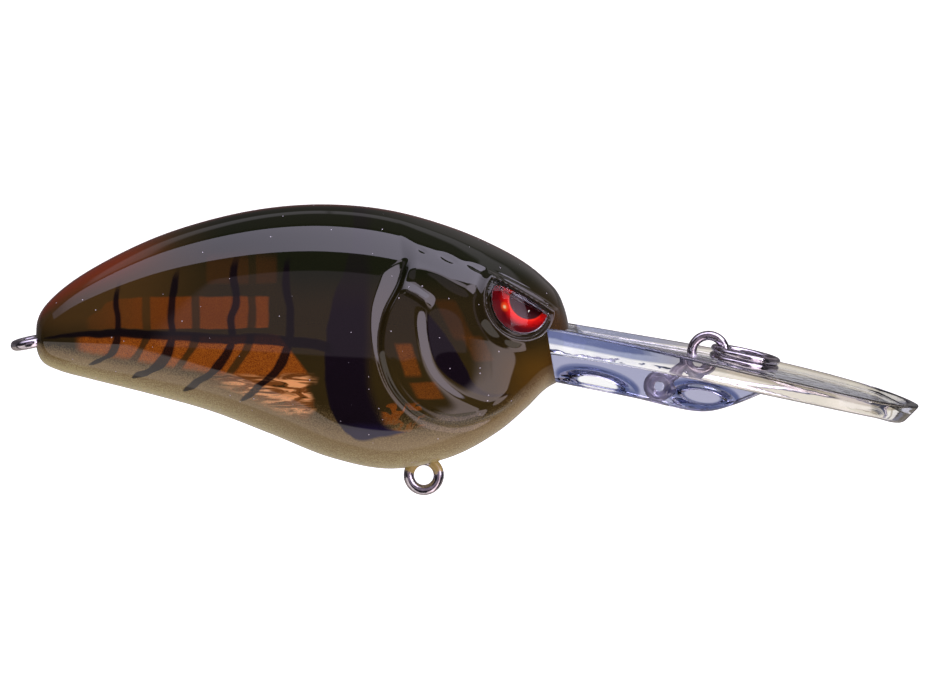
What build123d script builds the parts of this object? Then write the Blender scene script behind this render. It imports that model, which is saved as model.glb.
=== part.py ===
from build123d import *
import os
from math import cos, sin, tan, radians

# A deep-diving crankbait: a hollow two-part body with a clear diving bill.
# Millimetres. +X points to the bill, +Z is up, y = 0 is the parting plane.
# The origin is the centre of the towing eye, where the line is tied.

# ---- body -----------------------------------------------------------------
body_length = 60.0            # tail end to nose
body_height = 29.9            # lowest point of the belly to highest point of the back
body_width = 19.0             # across both flanks
nose_behind_eye = 15.7        # nose to the towing eye, along X
body_axis_height = 1.75       # widest line of the flanks above the towing eye
shell_wall = 1.6

# Shape of the body: share of the length from the tail, back above the axis and
# belly below it as shares of the height, flank as a share of the half width.
body_stations = (
    (0.000, 0.055, 0.052, 0.19),
    (0.012, 0.108, 0.098, 0.31),
    (0.045, 0.176, 0.130, 0.42),
    (0.101, 0.254, 0.160, 0.53),
    (0.214, 0.368, 0.217, 0.70),
    (0.327, 0.443, 0.281, 0.84),
    (0.440, 0.488, 0.368, 0.94),
    (0.553, 0.500, 0.458, 0.99),
    (0.665, 0.477, 0.500, 1.00),
    (0.778, 0.413, 0.455, 0.97),
    (0.863, 0.341, 0.364, 0.89),
    (0.919, 0.277, 0.270, 0.79),
    (0.954, 0.220, 0.200, 0.69),
    (0.978, 0.168, 0.172, 0.58),
    (0.993, 0.096, 0.164, 0.44),
    (1.000, 0.030, 0.160, 0.32),
)

# ---- gill covers pressed into the flanks ------------------------------------
gill_depth = 0.45
gill_arc_height = 17.5        # chord of the rear groove
gill_arc_bulge = 4.6          # how far the rear groove bows toward the tail
gill_groove_width = 1.6
gill_behind_nose = 19.2       # top end of the rear groove
gill_top_height = 10.0        # above the towing eye
cheek_arc_height = 11.5
cheek_arc_bulge = 3.4
cheek_behind_gill = 3.2       # the front groove lies this far ahead of the rear one

# ---- eyes -------------------------------------------------------------------
eye_radius = 3.65
eye_behind_nose = 5.3
eye_height = 6.1              # above the towing eye
eye_yaw = 27.0                # degrees that the eyes look forward
eye_pitch = 21.0              # degrees that the eyes look up
eye_brow_tilt = 29.6          # degrees that the brow falls toward the nose
eye_brow_offset = 0.6         # brow line above the eye's centre
eye_rim_width = 0.35
eye_cup_depth = 1.3
eye_floor = 0.5
eye_dome_rise = 0.9
eye_proud = 0.25              # rim above the flank
eye_fit = 0.05

# ---- diving bill ------------------------------------------------------------
bill_length = 42.2            # root face to tip, along X
bill_drop = 9.3               # root to tip, down
bill_arch = 0.54              # rise of the middle over a straight line
bill_root_thickness = 3.1
bill_tip_thickness = 1.9
bill_root_width = 11.2
bill_width = 22.8
bill_widest_ahead = 8.2       # widest place ahead of the towing eye
bill_root_behind_nose = 2.6   # the bill starts this far behind the nose
bill_root_height = 3.25       # top of the root above the towing eye
bill_face_lean = 1.1          # foot of the root face ahead of its top
bill_rim_width = 0.9
bill_dish_depth = 0.5

keel_width = 4.2
keel_bottom_below_eye = 6.7
keel_deepest_ahead = -0.6     # deepest place, ahead of the towing eye
keel_turn_ahead = 3.0         # here the bottom turns up to the front end
keel_turn_rise = 0.85
keel_end_ahead = 7.6
keel_throat_height = -3.4
keel_web = 1.3                # plastic left between opposite scallops
scallop_length = 8.6
scallop_height = 2.7
scallop_tilt = 14.0
front_scallop_behind_deepest = 0.9
front_scallop_below_eye = 4.8
rear_scallop_behind_deepest = 11.4
rear_scallop_below_eye = 3.3
tang_width = 3.0
tang_length = 7.6
tang_height = 4.4
tang_top_height = 1.6
tang_overlap = 0.6            # runs into the bill's root
tang_hole_from_back = 2.6
tang_post_radius = 1.0
fit_clearance = 0.05

# ---- wire forms -------------------------------------------------------------
tow_wire = 1.1
tow_eye_width = 4.84          # outer diameter
anchor_behind_eye = 5.6
anchor_below_eye = 3.75
anchor_width = 3.5
hanger_wire = 1.18
hanger_eye_width = 4.56
hanger_seat_width = 4.4       # inner eye of each hanger
belly_hanger_behind_nose = 16.4
belly_eye_below = 13.95       # centre of the eye below the towing eye
belly_seat_rise = 5.2         # inner eye above the outer one
tail_eye_behind_tail = 0.75
tail_eye_height = 1.1
tail_eye_tilt = 12.0
tail_seat_ahead = 7.4
wire_fit = 0.05

ring_wire = 0.8
ring_width = 8.0              # outer diameter
ring_pitch = 0.84             # between the two turns
ring_turns = 1.92
ring_rest_gap = 0.15
ring_eye_reach = 0.38         # middle of the ring's wire ahead of the eye's centre

# ---- inside -----------------------------------------------------------------
ballast_radius = 3.1
ballast_length = 8.4
throat_ballast_radius = 2.2
throat_ballast_length = 7.6
belly_ballast_behind_nose = 24.8
belly_ballast_z = -6.6
throat_ballast_behind_nose = 11.8
throat_ballast_z = -5.5
ballast_cup_wall = 0.9
ballast_cup_depth = 2.6
rattle_diameters = (4.0, 4.76, 4.0)
rattle_travels = (4.0, 5.5, 3.6)
tail_tunnel_ahead_of_seat = 0.3
head_tunnel_behind_nose = 10.2
rattle_heights = (3.4, 6.6, 7.4)
rattle_clearance = 0.3
chamber_wall = 0.9
pin_diameter = 1.6
pin_length = 1.6
pin_boss_wall = 1.0
pin_fit = 0.05

# ---- places worked out from the sizes above ----------------------------------
nose_x = -nose_behind_eye
tail_x = nose_x - body_length
half_width = body_width / 2
bill_root_x = nose_x - bill_root_behind_nose
bill_tip_x = bill_root_x + bill_length
bill_tip_z = bill_root_height - bill_drop
far = 4 * body_length


def section_outline(station, inset):
    """Near half section of the body: two quarter ellipses closed on the parting plane."""
    along, back, belly, flank = station
    rise = back * body_height - inset
    fall = belly * body_height - inset
    reach = flank * half_width - inset
    centre = (0, body_axis_height)
    upper = EllipticalCenterArc(centre, reach, rise, 90, arc_size=90)
    lower = EllipticalCenterArc(centre, reach, fall, 180, arc_size=90)
    parting = Line(lower @ 1, upper @ 0)
    plane = Plane.YZ.offset(tail_x + along * body_length)
    return plane * make_face([upper, lower, parting])


def body_half(inset, stations=body_stations):
    """Solid near half of the body, drawn in by inset."""
    return loft([section_outline(station, inset) for station in stations])


def outer_layer(outer, depth):
    """The outermost layer of the near half body."""
    return outer - body_half(depth)


def upright_prism(face):
    """A face drawn in the XZ plane, run right across the lure."""
    return extrude(face, amount=far, both=True)


def xz_face(edges):
    return make_face([Plane.XZ * edge for edge in edges])


def across_cylinder(radius, x, z, start, end):
    """A round bar along Y."""
    low, high = min(start, end), max(start, end)
    bar = Cylinder(radius, high - low, align=(Align.CENTER, Align.CENTER, Align.MIN))
    return Pos(x, low, z) * Rot(-90, 0, 0) * bar


def bar_between(start, end, radius):
    """A round bar from one point to another."""
    run = Vector(*end) - Vector(*start)
    return Plane(origin=start, z_dir=run) * Cylinder(
        radius, run.length, align=(Align.CENTER, Align.CENTER, Align.MIN)
    )


# ---- wire forms -------------------------------------------------------------
def tow_wire_form(clearance=0.0):
    """Towing eye, shank and anchor loop, bent from one wire."""
    radius = tow_wire / 2 + clearance
    eye_bend = (tow_eye_width - tow_wire) / 2
    anchor_bend = (anchor_width - tow_wire) / 2
    anchor = Vector(-anchor_behind_eye, 0, -anchor_below_eye)
    direction = anchor.normalized()
    eye = Rot(90, 0, 0) * Torus(eye_bend, radius)
    loop = Pos(*anchor) * Rot(90, 0, 0) * Torus(anchor_bend, radius)
    start = direction * eye_bend
    end = anchor - direction * anchor_bend
    return eye + loop + bar_between(tuple(start), tuple(end), radius)


belly_x = nose_x - belly_hanger_behind_nose
belly_seat_z = belly_seat_rise - belly_eye_below
tail_eye_x = tail_x - tail_eye_behind_tail
tail_seat_x = tail_eye_x + tail_seat_ahead
tail_seat_z = tail_eye_height + tail_seat_ahead * tan(radians(tail_eye_tilt))
hanger_bend = (hanger_eye_width - hanger_wire) / 2
seat_bend = (hanger_seat_width - hanger_wire) / 2
seat_post_radius = seat_bend - hanger_wire / 2 - wire_fit


def belly_hanger_form(clearance=0.0):
    """Eye below the belly, shank and seat loop above it, all in one plane."""
    radius = hanger_wire / 2 + clearance
    eye = Pos(belly_x, 0, -belly_eye_below) * Rot(90, 0, 0) * Torus(hanger_bend, radius)
    seat = Pos(belly_x, 0, belly_seat_z) * Rot(90, 0, 0) * Torus(seat_bend, radius)
    start = (belly_x, 0, hanger_bend - belly_eye_below)
    end = (belly_x, 0, belly_seat_z - seat_bend)
    return eye + seat + bar_between(start, end, radius)


def tail_hanger_form(clearance=0.0):
    """Flat eye behind the tail, with its seat loop turned a quarter round."""
    radius = hanger_wire / 2 + clearance
    slope = radians(tail_eye_tilt)
    eye = Pos(tail_eye_x, 0, tail_eye_height) * Rot(0, -tail_eye_tilt, 0)
    eye = eye * Torus(hanger_bend, radius)
    seat = Pos(tail_seat_x, 0, tail_seat_z) * Rot(90, 0, 0) * Torus(seat_bend, radius)
    start = (
        tail_eye_x + hanger_bend * cos(slope), 0, tail_eye_height + hanger_bend * sin(slope)
    )
    end = (tail_seat_x - seat_bend * cos(slope), 0, tail_seat_z - seat_bend * sin(slope))
    return eye + seat + bar_between(start, end, radius)


# ---- diving bill ------------------------------------------------------------
bill_mid_x = (bill_root_x + bill_tip_x) / 2
bill_mid_z = bill_root_height - bill_drop / 2 + bill_arch
bill_mid_thickness = (bill_root_thickness + bill_tip_thickness) / 2 - 0.2


def bill_top_curve(drop=0.0):
    return ThreePointArc(
        (bill_root_x, bill_root_height - drop),
        (bill_mid_x, bill_mid_z - drop),
        (bill_tip_x, bill_tip_z - drop),
    )


def bill_top_height(x):
    """Height of the bill's rim above the towing eye, on the middle line."""
    return (bill_top_curve() @ ((x - bill_root_x) / bill_length)).Y


def root_face_x(height):
    """The root face leans: its foot lies ahead of its top."""
    drop = (bill_root_height - height) / (bill_root_height - keel_throat_height)
    return bill_root_x + bill_face_lean * drop


def bill_side_face():
    """Side view of the plate: it thins toward the tip."""
    top = bill_top_curve()
    foot_height = bill_root_height - bill_root_thickness
    foot = (root_face_x(foot_height), foot_height)
    toe = (bill_tip_x, bill_tip_z - bill_tip_thickness)
    under = ThreePointArc(foot, (bill_mid_x, bill_mid_z - bill_mid_thickness), toe)
    return xz_face([top, Line(top @ 1, under @ 1), under, Line(top @ 0, foot)])


def bill_plan_face(inset=0.0, root_inset=0.0):
    """Outline of the bill from above, drawn in by inset."""
    root = bill_root_width / 2 - inset
    widest = bill_width / 2 - inset
    start = bill_root_x + root_inset
    tip = bill_tip_x - inset
    waist = bill_root_x + 0.3 * (bill_widest_ahead - bill_root_x)
    shoulder = bill_widest_ahead + 0.72 * (bill_tip_x - bill_widest_ahead)
    points = [
        (start, root),
        (waist, root + 0.16 * (widest - root)),
        (bill_widest_ahead, widest),
        (shoulder, 0.76 * widest),
        (tip, 0),
    ]
    edge = Spline(points, tangents=[(1, 0), (0, -1)])
    other = mirror(edge, about=Plane.XZ)
    return make_face([edge, other, Line((start, -root), (start, root))])


def keel_side_face():
    """Side view of the keel under the bill, from the throat to its front end."""
    deepest = -keel_bottom_below_eye
    throat_x = root_face_x(keel_throat_height)
    throat = (throat_x, keel_throat_height)
    middle = ((throat_x + keel_deepest_ahead) / 2, (keel_throat_height + deepest) / 2)
    bottom = (keel_deepest_ahead, deepest)
    turn = (keel_turn_ahead, deepest + keel_turn_rise)
    plate_top = bill_top_height(keel_end_ahead)
    front = (keel_end_ahead, plate_top - 0.85 * bill_mid_thickness)
    top_front = (keel_end_ahead, plate_top - 0.5 * bill_mid_thickness)
    root_height = bill_root_height - bill_root_thickness / 2
    top_root = (root_face_x(root_height), root_height)
    under = Spline([throat, middle, bottom, turn, front])
    return xz_face([
        under, Line(front, top_front), Line(top_front, top_root), Line(top_root, throat)
    ])


def scallop_cutter(x, z):
    """Long shallow hollow in the near side of the keel."""
    depth = (keel_width - keel_web) / 2
    shape = scale(Sphere(1), by=(scallop_length / 2, depth, scallop_height / 2))
    return Pos(x, -keel_width / 2, z) * Rot(0, scallop_tilt, 0) * shape


def make_diving_bill():
    plate = upright_prism(bill_side_face()) & extrude(bill_plan_face(), amount=far, both=True)
    dish_under = xz_face([
        bill_top_curve(bill_dish_depth),
        Line((bill_tip_x, bill_tip_z - bill_dish_depth), (bill_tip_x, far)),
        Line((bill_tip_x, far), (bill_root_x, far)),
        Line((bill_root_x, far), (bill_root_x, bill_root_height - bill_dish_depth)),
    ])
    dish_plan = bill_plan_face(bill_rim_width, bill_root_behind_nose + bill_rim_width)
    plate -= upright_prism(dish_under) & extrude(dish_plan, amount=far, both=True)

    keel = extrude(keel_side_face(), amount=keel_width / 2, both=True)
    front_x = keel_deepest_ahead - front_scallop_behind_deepest
    rear_x = keel_deepest_ahead - rear_scallop_behind_deepest
    front_scallop = scallop_cutter(front_x, -front_scallop_below_eye)
    rear_scallop = scallop_cutter(rear_x, -rear_scallop_below_eye)
    scallops = front_scallop + rear_scallop
    keel -= scallops
    keel -= mirror(scallops, about=Plane.XZ)

    tang = extrude(tang_face(0), amount=tang_width / 2, both=True)
    hole = across_cylinder(tang_post_radius + fit_clearance, tang_post_x, tang_post_z, -far, far)
    return plate + keel + tang - hole - tow_wire_form()


tang_front_x = bill_root_x + bill_face_lean + tang_overlap
tang_back_x = bill_root_x + bill_face_lean - tang_length
tang_post_x = tang_back_x + tang_hole_from_back
tang_post_z = tang_top_height - tang_height / 2


def tang_face(clearance):
    low = tang_top_height - tang_height - clearance
    high = tang_top_height + clearance
    back = tang_back_x - clearance
    return xz_face([
        Line((back, low), (tang_front_x, low)),
        Line((tang_front_x, low), (tang_front_x, high)),
        Line((tang_front_x, high), (back, high)),
        Line((back, high), (back, low)),
    ])


def bill_seat_cutter():
    """Everything ahead of the root face and below the bill's upper surface."""
    top = bill_top_curve()
    foot = (root_face_x(-body_length), -body_length)
    return upright_prism(xz_face([
        top,
        Line(top @ 1, (bill_tip_x, -body_length)),
        Line((bill_tip_x, -body_length), foot),
        Line(foot, top @ 0),
    ]))


# ---- eyes -------------------------------------------------------------------
def eye_plane(outer):
    """Plane touching the near flank at the eye, facing outward."""
    axis = Axis((nose_x - eye_behind_nose, 0, eye_height), (0, -1, 0))
    surface_point = outer.find_intersection_points(axis)[-1][0]
    yaw, pitch = radians(eye_yaw), radians(eye_pitch)
    outward = (sin(yaw) * cos(pitch), -cos(yaw) * cos(pitch), sin(pitch))
    return Plane(origin=surface_point, x_dir=(cos(yaw), sin(yaw), 0), z_dir=outward)


def eye_prism(inset, low, high):
    """Half-round block, flat along the brow, between two heights."""
    radius = eye_radius - inset
    brow = eye_brow_offset - inset
    below_brow = Pos(0, brow) * Rectangle(far, far, align=(Align.CENTER, Align.MAX))
    outline = Rot(0, 0, -eye_brow_tilt) * (Circle(radius) & below_brow)
    return Pos(0, 0, low) * extrude(outline, amount=high - low)


def make_eye_cup():
    block = eye_prism(0, -eye_cup_depth, eye_proud)
    return block - eye_prism(eye_rim_width, eye_floor - eye_cup_depth, eye_proud + 1)


def make_eye_lens():
    radius = eye_radius - eye_rim_width
    dome_radius = (radius ** 2 + eye_dome_rise ** 2) / (2 * eye_dome_rise)
    dome = Pos(0, 0, eye_proud + eye_dome_rise - dome_radius) * Sphere(dome_radius)
    body = eye_prism(
        eye_rim_width + eye_fit, eye_floor - eye_cup_depth, eye_proud + eye_dome_rise
    )
    return body & dome


# ---- moving rattles and fixed ballast ----------------------------------------
belly_ballast_x = nose_x - belly_ballast_behind_nose
throat_ballast_x = nose_x - throat_ballast_behind_nose


def ballast_cup(x, z, radius, length):
    """Near half of the moulded cup that grips one ballast slug."""
    mouth = ballast_cup_depth - length / 2
    return across_cylinder(radius + fit_clearance + ballast_cup_wall, x, z, mouth, -far)


def ballast_slug(x, z, radius, length, clearance=0.0):
    reach = length / 2 + clearance
    return across_cylinder(radius + clearance, x, z, -reach, reach)


def chamber_length(index):
    return rattle_diameters[index] + rattle_travels[index] + 2 * rattle_clearance


def chamber_centre(index):
    """The tunnels are spread evenly from the tail hanger's seat to the head."""
    lengths = [chamber_length(each) + 2 * chamber_wall for each in range(len(rattle_travels))]
    rear = tail_seat_x + hanger_seat_width / 2 + tail_tunnel_ahead_of_seat
    front = nose_x - head_tunnel_behind_nose
    gap = (front - rear - sum(lengths)) / (len(lengths) - 1)
    return rear + sum(lengths[:index]) + index * gap + lengths[index] / 2


def chamber(index, wall):
    """Round tunnel of one rattle ball; wall thickens it on every side."""
    length = chamber_length(index)
    radius = rattle_diameters[index] / 2 + rattle_clearance
    x = chamber_centre(index)
    tunnel = Rot(0, 90, 0) * Cylinder(radius + wall, length + 2 * wall)
    return Pos(x, 0, rattle_heights[index]) * tunnel


def chamber_webs(index):
    """Two plates that carry a rattle tunnel from the flank."""
    radius = rattle_diameters[index] / 2 + rattle_clearance + chamber_wall
    x = chamber_centre(index)
    offset = (chamber_length(index) + chamber_wall) / 2
    plate = Box(chamber_wall, far, 2 * radius, align=(Align.CENTER, Align.MAX, Align.CENTER))
    return [Pos(x + shift, 0, rattle_heights[index]) * plate for shift in (-offset, offset)]


def rattle_ball(index):
    radius = rattle_diameters[index] / 2
    x = chamber_centre(index) - rattle_travels[index] / 2
    return Pos(x, 0, rattle_heights[index]) * Sphere(radius)


# ---- half shells --------------------------------------------------------------
def seat_boss(x, z, post_radius, half_gap):
    """Boss from the flank with a thinner post that reaches the parting plane."""
    boss = across_cylinder(post_radius + pin_boss_wall, x, z, -half_gap, -far)
    return [boss, across_cylinder(post_radius, x, z, 0, -half_gap - 1)]


# Locating pins: distance behind the nose and height above the towing eye.
pin_places = ((50.8, 7.9), (38.0, -4.1), (23.6, 12.7), (9.0, 7.8))


def gill_groove(top_x, top_z, height, bulge, width):
    """Crescent seen from the side, thickest at its middle."""
    top = (top_x, top_z)
    foot = (top_x, top_z - height)
    middle_z = top_z - height / 2
    rear = ThreePointArc(top, (top_x - bulge, middle_z), foot)
    front = ThreePointArc(top, (top_x - bulge + width, middle_z), foot)
    return upright_prism(xz_face([rear, front]))


def gill_relief(outer):
    """Two crescent grooves behind the eye."""
    top_x = nose_x - gill_behind_nose + gill_arc_bulge
    rear = gill_groove(top_x, gill_top_height, gill_arc_height, gill_arc_bulge, gill_groove_width)
    front_x = top_x + cheek_behind_gill
    front_z = gill_top_height - (gill_arc_height - cheek_arc_height) * 0.8
    front = gill_groove(front_x, front_z, cheek_arc_height, cheek_arc_bulge, gill_groove_width)
    layer = outer_layer(outer, gill_depth)
    return [groove & layer for groove in (rear, front)]


def make_near_shell(outer, eye_at):
    """Right half of the body without its locating pins."""
    cavity = body_half(shell_wall, body_stations[2:12])
    shell = outer - cavity

    carriers = []
    for index in range(len(rattle_diameters)):
        carriers.append(chamber(index, chamber_wall))
        carriers += chamber_webs(index)
    belly_ballast = (belly_ballast_x, belly_ballast_z, ballast_radius, ballast_length)
    throat_ballast = (
        throat_ballast_x, throat_ballast_z, throat_ballast_radius, throat_ballast_length
    )
    carriers.append(ballast_cup(*belly_ballast))
    carriers.append(ballast_cup(*throat_ballast))
    half_gap = hanger_wire / 2 + wire_fit
    carriers += seat_boss(belly_x, belly_seat_z, seat_post_radius, half_gap)
    carriers += seat_boss(tail_seat_x, tail_seat_z, seat_post_radius, half_gap)
    tang_gap = tang_width / 2 + fit_clearance
    carriers += seat_boss(tang_post_x, tang_post_z, tang_post_radius, tang_gap)
    for behind, height in pin_places:
        boss_radius = pin_diameter / 2 + pin_boss_wall
        carriers.append(across_cylinder(boss_radius, nose_x - behind, height, 0, -far))
    carriers.append(eye_at * eye_prism(-shell_wall, -eye_cup_depth - shell_wall, 0))
    for carrier in carriers:
        shell += carrier & outer

    cuts = [chamber(index, 0) for index in range(len(rattle_diameters))]
    cuts.append(ballast_slug(*belly_ballast, fit_clearance))
    cuts.append(ballast_slug(*throat_ballast, fit_clearance))
    cuts.append(belly_hanger_form(wire_fit))
    cuts.append(tail_hanger_form(wire_fit))
    cuts.append(eye_at * eye_prism(-eye_fit, -eye_cup_depth, far / 20))
    cuts.append(bill_seat_cutter())
    cuts.append(extrude(tang_face(fit_clearance), amount=tang_gap, both=True))
    cuts += gill_relief(outer)
    for cut in cuts:
        shell -= cut
    return shell + across_cylinder(tang_post_radius, tang_post_x, tang_post_z, 0, -tang_width)


# ---- split ring ---------------------------------------------------------------
def make_split_ring():
    """Spring wire wound nearly twice round, one turn stepping onto the other."""
    bend = (ring_width - ring_wire) / 2
    step = 40.0
    low, high = -ring_pitch / 2, ring_pitch / 2
    first_end = 360.0 - step
    second_end = 360.0 * (ring_turns - 1)

    def on_ring(degrees, height):
        return (bend * cos(radians(degrees)), bend * sin(radians(degrees)), height)

    def heading(degrees):
        return (-sin(radians(degrees)), cos(radians(degrees)), 0)

    lower = ThreePointArc(on_ring(0, low), on_ring(first_end / 2, low), on_ring(first_end, low))
    rise = Spline(
        [on_ring(first_end, low), on_ring(first_end + step / 2, 0), on_ring(360, high)],
        tangents=[heading(first_end), heading(360)],
    )
    upper = ThreePointArc(
        on_ring(0, high), on_ring(second_end / 2, high), on_ring(second_end, high)
    )
    path = Wire([lower, rise, upper])
    section = Plane(origin=on_ring(0, low), z_dir=heading(0)) * Circle(ring_wire / 2)
    ring = sweep(section, path=path)

    along = bill_top_curve() % 0.48
    direction = Vector(along.X, 0, along.Y)
    upward = Vector(-along.Y, 0, along.X)
    floor_z = bill_top_height(ring_eye_reach) - bill_dish_depth
    rest = Vector(ring_eye_reach, 0, floor_z) + upward * (
        (ring_pitch + ring_wire) / 2 + ring_rest_gap
    )
    centre = rest + direction * bend
    return Plane(origin=centre, x_dir=direction, z_dir=upward) * Rot(0, 0, 150) * ring


# ---- write every piece ----------------------------------------------------------
def main():
    os.makedirs("parts", exist_ok=True)
    outer = body_half(0)
    eye_at = eye_plane(outer)
    near_shell = make_near_shell(outer, eye_at)
    pieces = {"diving_bill": make_diving_bill(), "line_tie_wire": tow_wire_form()}

    pins = [
        across_cylinder(pin_diameter / 2, nose_x - behind, height, pin_length, -pin_length)
        for behind, height in pin_places
    ]
    sockets = [
        across_cylinder(
            pin_diameter / 2 + pin_fit, nose_x - behind, height,
            pin_length + pin_fit, -pin_length,
        )
        for behind, height in pin_places
    ]
    pieces["right_shell"] = near_shell + pins
    pieces["left_shell"] = mirror(near_shell, about=Plane.XZ) - sockets

    pieces["split_ring"] = make_split_ring()
    pieces["belly_hanger"] = belly_hanger_form()
    pieces["tail_hanger"] = tail_hanger_form()
    cup, lens = eye_at * make_eye_cup(), eye_at * make_eye_lens()
    pieces["right_eye_cup"] = cup
    pieces["right_eye_lens"] = lens
    pieces["left_eye_cup"] = mirror(cup, about=Plane.XZ)
    pieces["left_eye_lens"] = mirror(lens, about=Plane.XZ)
    pieces["belly_ballast"] = ballast_slug(
        belly_ballast_x, belly_ballast_z, ballast_radius, ballast_length
    )
    pieces["throat_ballast"] = ballast_slug(
        throat_ballast_x, throat_ballast_z, throat_ballast_radius, throat_ballast_length
    )
    for index, name in enumerate(("tail", "middle", "head")):
        pieces[name + "_rattle_ball"] = rattle_ball(index)
    for name, shape in pieces.items():
        export_step(shape, "parts/" + name + ".step")


main()
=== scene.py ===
from math import cos, pi, radians, sin, sqrt

import bpy
import numpy as np
from mathutils import Matrix, Vector


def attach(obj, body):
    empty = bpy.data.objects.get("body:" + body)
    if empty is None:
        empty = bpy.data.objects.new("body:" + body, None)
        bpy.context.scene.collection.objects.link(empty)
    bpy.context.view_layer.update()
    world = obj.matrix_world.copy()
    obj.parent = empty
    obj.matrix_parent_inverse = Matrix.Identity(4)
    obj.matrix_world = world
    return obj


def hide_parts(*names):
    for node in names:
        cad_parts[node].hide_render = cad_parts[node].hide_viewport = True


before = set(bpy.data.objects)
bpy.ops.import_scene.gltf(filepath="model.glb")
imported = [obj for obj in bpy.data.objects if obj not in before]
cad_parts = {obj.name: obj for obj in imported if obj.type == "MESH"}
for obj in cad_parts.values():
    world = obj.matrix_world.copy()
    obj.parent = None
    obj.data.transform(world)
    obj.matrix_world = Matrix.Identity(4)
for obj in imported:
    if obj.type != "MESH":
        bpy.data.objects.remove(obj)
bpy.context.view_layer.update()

mm = 0.001


# ---------------------------------------------------------------------------
# Hollow body: two injection-moulded ABS halves, welded on the parting plane.
# Gill covers, cheeks, brows and eye sockets are part of the mould. Both halves
# are sprayed over a copper-flake base and dipped in a thick clear coat.
# ---------------------------------------------------------------------------
body_length = 60.0 * mm
body_height = 29.9 * mm
half_width = 9.5 * mm
nose_x = -15.7 * mm
tail_x = nose_x - body_length
axis_height = 1.75 * mm       # widest line of the flanks
stencil_lean = 0.093          # marks lie this much lower for each unit out from the middle

# Share of the length, back and belly as shares of the height, flank as a share
# of the half width. The first and last rows close the ends.
body_stations = (
    (0.000, 0.000, 0.000, 0.00),
    (0.000, 0.055, 0.052, 0.19),
    (0.012, 0.108, 0.098, 0.31),
    (0.045, 0.176, 0.130, 0.42),
    (0.101, 0.254, 0.160, 0.53),
    (0.214, 0.368, 0.217, 0.70),
    (0.327, 0.443, 0.281, 0.84),
    (0.440, 0.488, 0.368, 0.94),
    (0.553, 0.500, 0.458, 0.99),
    (0.665, 0.477, 0.500, 1.00),
    (0.778, 0.413, 0.455, 0.97),
    (0.863, 0.341, 0.364, 0.89),
    (0.919, 0.277, 0.270, 0.79),
    (0.954, 0.220, 0.200, 0.69),
    (0.978, 0.168, 0.172, 0.58),
    (0.993, 0.096, 0.164, 0.44),
    (1.000, 0.030, 0.160, 0.32),
    (1.000, 0.000, 0.000, 0.00),
)


def curve_through(points, samples):
    """Evenly spread points on a smooth curve through the given ones."""
    points = np.array(points, float)
    steps = np.sqrt(np.linalg.norm(np.diff(points, axis=0), axis=1))
    knots = np.concatenate(([0], np.cumsum(steps)))
    chords = np.diff(points, axis=0) / steps[:, None]
    slopes = np.empty_like(points)
    slopes[0], slopes[-1] = chords[0], chords[-1]
    weights = (steps[:-1] / (steps[:-1] + steps[1:]))[:, None]
    slopes[1:-1] = chords[:-1] * (1 - weights) + chords[1:] * weights

    def at(values):
        """Points at these values of the knots' measure."""
        index = np.clip(np.searchsorted(knots, values) - 1, 0, len(steps) - 1)
        span = steps[index][:, None]
        t = ((values - knots[index]) / steps[index])[:, None]
        return (
            points[index] * (1 + 2 * t) * (1 - t) ** 2
            + points[index + 1] * t * t * (3 - 2 * t)
            + slopes[index] * span * t * (1 - t) ** 2
            + slopes[index + 1] * span * t * t * (t - 1)
        )

    fine = np.linspace(0, knots[-1], 60 * len(points))
    walked = np.cumsum(np.linalg.norm(np.diff(at(fine), axis=0), axis=1))
    walked = np.concatenate(([0], walked))
    return at(np.interp(np.linspace(0, walked[-1], samples), walked, fine))


ladder_rows = 1600
ladder = curve_through(
    [
        (along * body_length, back * body_height, belly * body_height, flank * half_width)
        for along, back, belly, flank in body_stations
    ],
    ladder_rows,
)
ladder[:, 1] *= 0.9994        # the smooth curve rises a hair over its highest station
ladder_share = np.linspace(0, 1, ladder_rows)


def body_surface(share, angle):
    """Right flank: share runs from tail to nose, angle from the belly (-90) to the back (90)."""
    along, back, belly, flank = (np.interp(share, ladder_share, ladder[:, k]) for k in range(4))
    up = np.where(angle > 0, back, belly) * np.sin(np.radians(angle))
    out = flank * np.cos(np.radians(angle))
    return np.stack((tail_x + along, -out, axis_height + up), axis=-1)


def body_normal(share, angle):
    """Outward normal of the plain body, from near points on both sides."""
    forward = body_surface(np.minimum(share + 0.002, 1), angle)
    forward -= body_surface(np.maximum(share - 0.002, 0), angle)
    upward = body_surface(share, np.minimum(angle + 1, 90))
    upward -= body_surface(share, np.maximum(angle - 1, -90))
    normal = np.cross(forward, upward)
    return normal / np.maximum(np.linalg.norm(normal, axis=-1, keepdims=True), 1e-12)


def rise(value, low, high):
    """Smooth step from 0 at low to 1 at high."""
    t = np.clip((value - low) / (high - low), 0, 1)
    return t * t * (3 - 2 * t)


def line_distance(x, h, line):
    """Signed distance to a line in side view, plus on its nose side, and the place along it."""
    path = curve_through(line, 200) * mm
    best = np.full(x.shape, 1.0)
    place = np.zeros(x.shape)
    side = np.ones(x.shape)
    for index in range(len(path) - 1):
        (ax, az), (bx, bz) = path[index], path[index + 1]
        dx, dz = bx - ax, bz - az
        t = np.clip(((x - ax) * dx + (h - az) * dz) / (dx * dx + dz * dz), 0, 1)
        gap = np.hypot(x - ax - t * dx, h - az - t * dz)
        closer = gap < best
        best = np.where(closer, gap, best)
        place = np.where(closer, (index + t) / (len(path) - 1), place)
        turn = (x - ax) * dz - (h - az) * dx
        side = np.where(closer, np.where(turn > 0, -1.0, 1.0), side)
    return best * side, place


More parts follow.
